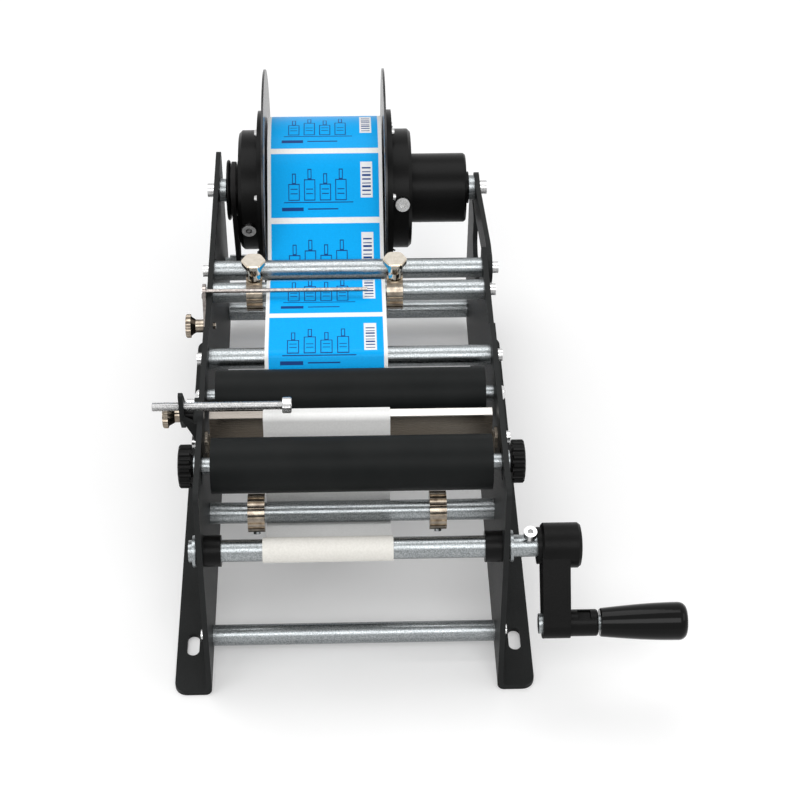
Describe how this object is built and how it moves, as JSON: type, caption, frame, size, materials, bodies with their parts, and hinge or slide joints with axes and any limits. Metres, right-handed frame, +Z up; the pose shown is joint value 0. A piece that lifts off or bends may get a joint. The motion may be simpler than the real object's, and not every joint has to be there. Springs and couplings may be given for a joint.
{
  "type": "hand cranked bottle labeling machine",
  "caption": "Bench labeling machine: a hand crank winds liner past a peel plate between bottle rollers, fed from a braked label roll between two side plates.",
  "frame": {"origin": "middle of the bounding box at floor level", "axes": "+X to the crank side, +Y to the label roll at the rear, +Z up"},
  "size_m": [0.286, 0.3952, 0.197],
  "materials": {
    "cast_black": "black painted casting",
    "core": "wound board core",
    "grip_black": "gloss black plastic",
    "label": "blue printed labels on liner",
    "liner": "white release liner",
    "nickel": "nickel plated brass",
    "plastic_black": "moulded black plastic",
    "powder_black": "black powder coat",
    "roller_black": "satin black roller cover",
    "stainless": "bent stainless sheet",
    "strap": "black brake strap",
    "zinc": "zinc plated steel"
  },
  "bodies": {
    "frame": {"left_side_plate": "powder_black", "right_side_plate": "powder_black", "front_tie_bar": "zinc", "rear_tie_bar": "zinc", "rear_guide_rod": "zinc", "collar_rod": "zinc", "front_guide_rod": "zinc", "lower_guide_rod": "zinc", "frame_screws": "zinc", "peel_plate": "stainless", "spool_spindle": "zinc", "spindle_spacers": "zinc", "spindle_screws": "zinc", "spindle_arm": "powder_black", "brake_anchor": "zinc", "brake_belt": "strap", "label_web": "liner", "rear_roller_axle": "zinc", "rear_roller_spacers": "zinc", "rear_roller_cap_nuts": "zinc", "crank_bushes": "plastic_black", "stop_bracket": "powder_black", "stop_spacer": "plastic_black"},
    "spool": {"spool_sleeve": "plastic_black", "brake_pulley": "plastic_black", "left_hub": "plastic_black", "left_disc": "plastic_black", "right_hub": "plastic_black", "right_disc": "plastic_black", "hub_screws": "zinc", "roll_core": "core", "label_roll": "label"},
    "crank": {"crank_shaft": "zinc", "shaft_clips": "zinc", "crank_screw": "zinc", "crank_arm": "cast_black", "handle_axle": "zinc", "handle_neck": "plastic_black", "take_up_roll": "liner"},
    "grip": {"handle_grip": "grip_black"},
    "roller_back": {"rear_roller": "roller_black", "rear_roller_bushes": "plastic_black"},
    "roller_carriage": {"front_roller_axle": "zinc", "front_roller_spacers": "zinc"},
    "roller_front": {"front_roller": "roller_black", "front_roller_bushes": "plastic_black"},
    "knob_left": {"left_knob": "plastic_black"},
    "knob_right": {"right_knob": "plastic_black"},
    "collar_rear_left": {"rear_left_collar": "nickel"},
    "collar_rear_right": {"rear_right_collar": "nickel"},
    "collar_front_left": {"front_left_collar": "nickel", "front_left_collar_screw": "zinc"},
    "collar_front_right": {"front_right_collar": "nickel", "front_right_collar_screw": "zinc"},
    "thumb_rear_left": {"rear_left_thumb_screw": "nickel"},
    "thumb_rear_right": {"rear_right_thumb_screw": "nickel"},
    "pointer_swing": {"pointer": "zinc"},
    "pointer_clamp": {"pointer_thumb_screw": "nickel"},
    "stop_rod": {"stop_screw": "zinc"},
    "stop_clamp": {"stop_thumb_screw": "nickel"}
  },
  "joints": [
    {"name": "crank_turn", "type": "hinge", "parent": "frame", "child": "crank", "pos_m": [-0.036, -0.1584, 0.094], "axis": [1, 0, 0], "continuous": true},
    {"name": "grip_spin", "type": "hinge", "parent": "crank", "child": "grip", "pos_m": [-0.036, -0.1873, 0.06353], "axis": [1, 0, 0], "continuous": true},
    {"name": "spool_turn", "type": "hinge", "parent": "frame", "child": "spool", "pos_m": [-0.036, 0.12261, 0.122], "axis": [1, 0, 0], "continuous": true},
    {"name": "rear_roller_turn", "type": "hinge", "parent": "frame", "child": "roller_back", "pos_m": [-0.036, -0.06889, 0.123], "axis": [1, 0, 0], "continuous": true},
    {"name": "front_roller_adjust", "type": "slide", "parent": "frame", "child": "roller_carriage", "axis": [0, 1, 0], "range_m": [-0.01, 0.006]},
    {"name": "front_roller_turn", "type": "hinge", "parent": "roller_carriage", "child": "roller_front", "pos_m": [-0.036, -0.1294, 0.1295], "axis": [1, 0, 0], "continuous": true},
    {"name": "left_knob_turn", "type": "hinge", "parent": "roller_carriage", "child": "knob_left", "pos_m": [-0.036, -0.1294, 0.1295], "axis": [1, 0, 0], "continuous": true},
    {"name": "right_knob_turn", "type": "hinge", "parent": "roller_carriage", "child": "knob_right", "pos_m": [-0.036, -0.1294, 0.1295], "axis": [1, 0, 0], "continuous": true},
    {"name": "rear_left_collar_slide", "type": "slide", "parent": "frame", "child": "collar_rear_left", "axis": [1, 0, 0], "range_m": [-0.017, 0.001]},
    {"name": "rear_right_collar_slide", "type": "slide", "parent": "frame", "child": "collar_rear_right", "axis": [1, 0, 0], "range_m": [0, 0.045]},
    {"name": "front_left_collar_slide", "type": "slide", "parent": "frame", "child": "collar_front_left", "axis": [1, 0, 0], "range_m": [-0.018, 0]},
    {"name": "front_right_collar_slide", "type": "slide", "parent": "frame", "child": "collar_front_right", "axis": [1, 0, 0], "range_m": [-0.02, 0.024]},
    {"name": "rear_left_thumb_turn", "type": "hinge", "parent": "collar_rear_left", "child": "thumb_rear_left", "pos_m": [-0.09155, 0.0181, 0.1255], "axis": [0, 0, 1], "continuous": true},
    {"name": "rear_right_thumb_turn", "type": "hinge", "parent": "collar_rear_right", "child": "thumb_rear_right", "pos_m": [-0.00895, 0.0181, 0.1255], "axis": [0, 0, 1], "continuous": true},
    {"name": "pointer_tilt", "type": "hinge", "parent": "frame", "child": "pointer_swing", "pos_m": [-0.036, 0.00011, 0.1155], "axis": [1, 0, 0], "range_deg": [-3, 34]},
    {"name": "pointer_thumb_turn", "type": "hinge", "parent": "frame", "child": "pointer_clamp", "pos_m": [-0.036, 0.00011, 0.1155], "axis": [1, 0, 0], "continuous": true},
    {"name": "stop_screw_slide", "type": "slide", "parent": "frame", "child": "stop_rod", "axis": [1, 0, 0], "range_m": [-0.045, 0.012]},
    {"name": "stop_thumb_turn", "type": "hinge", "parent": "frame", "child": "stop_clamp", "pos_m": [-0.036, -0.0977, 0.1369], "axis": [1, 0, 0], "continuous": true}
  ],
  "couplings": [
    {"joint": "spool_turn", "follows": "crank_turn", "ratio": -0.14945},
    {"joint": "rear_roller_turn", "follows": "crank_turn", "ratio": 0.45333}
  ]
}
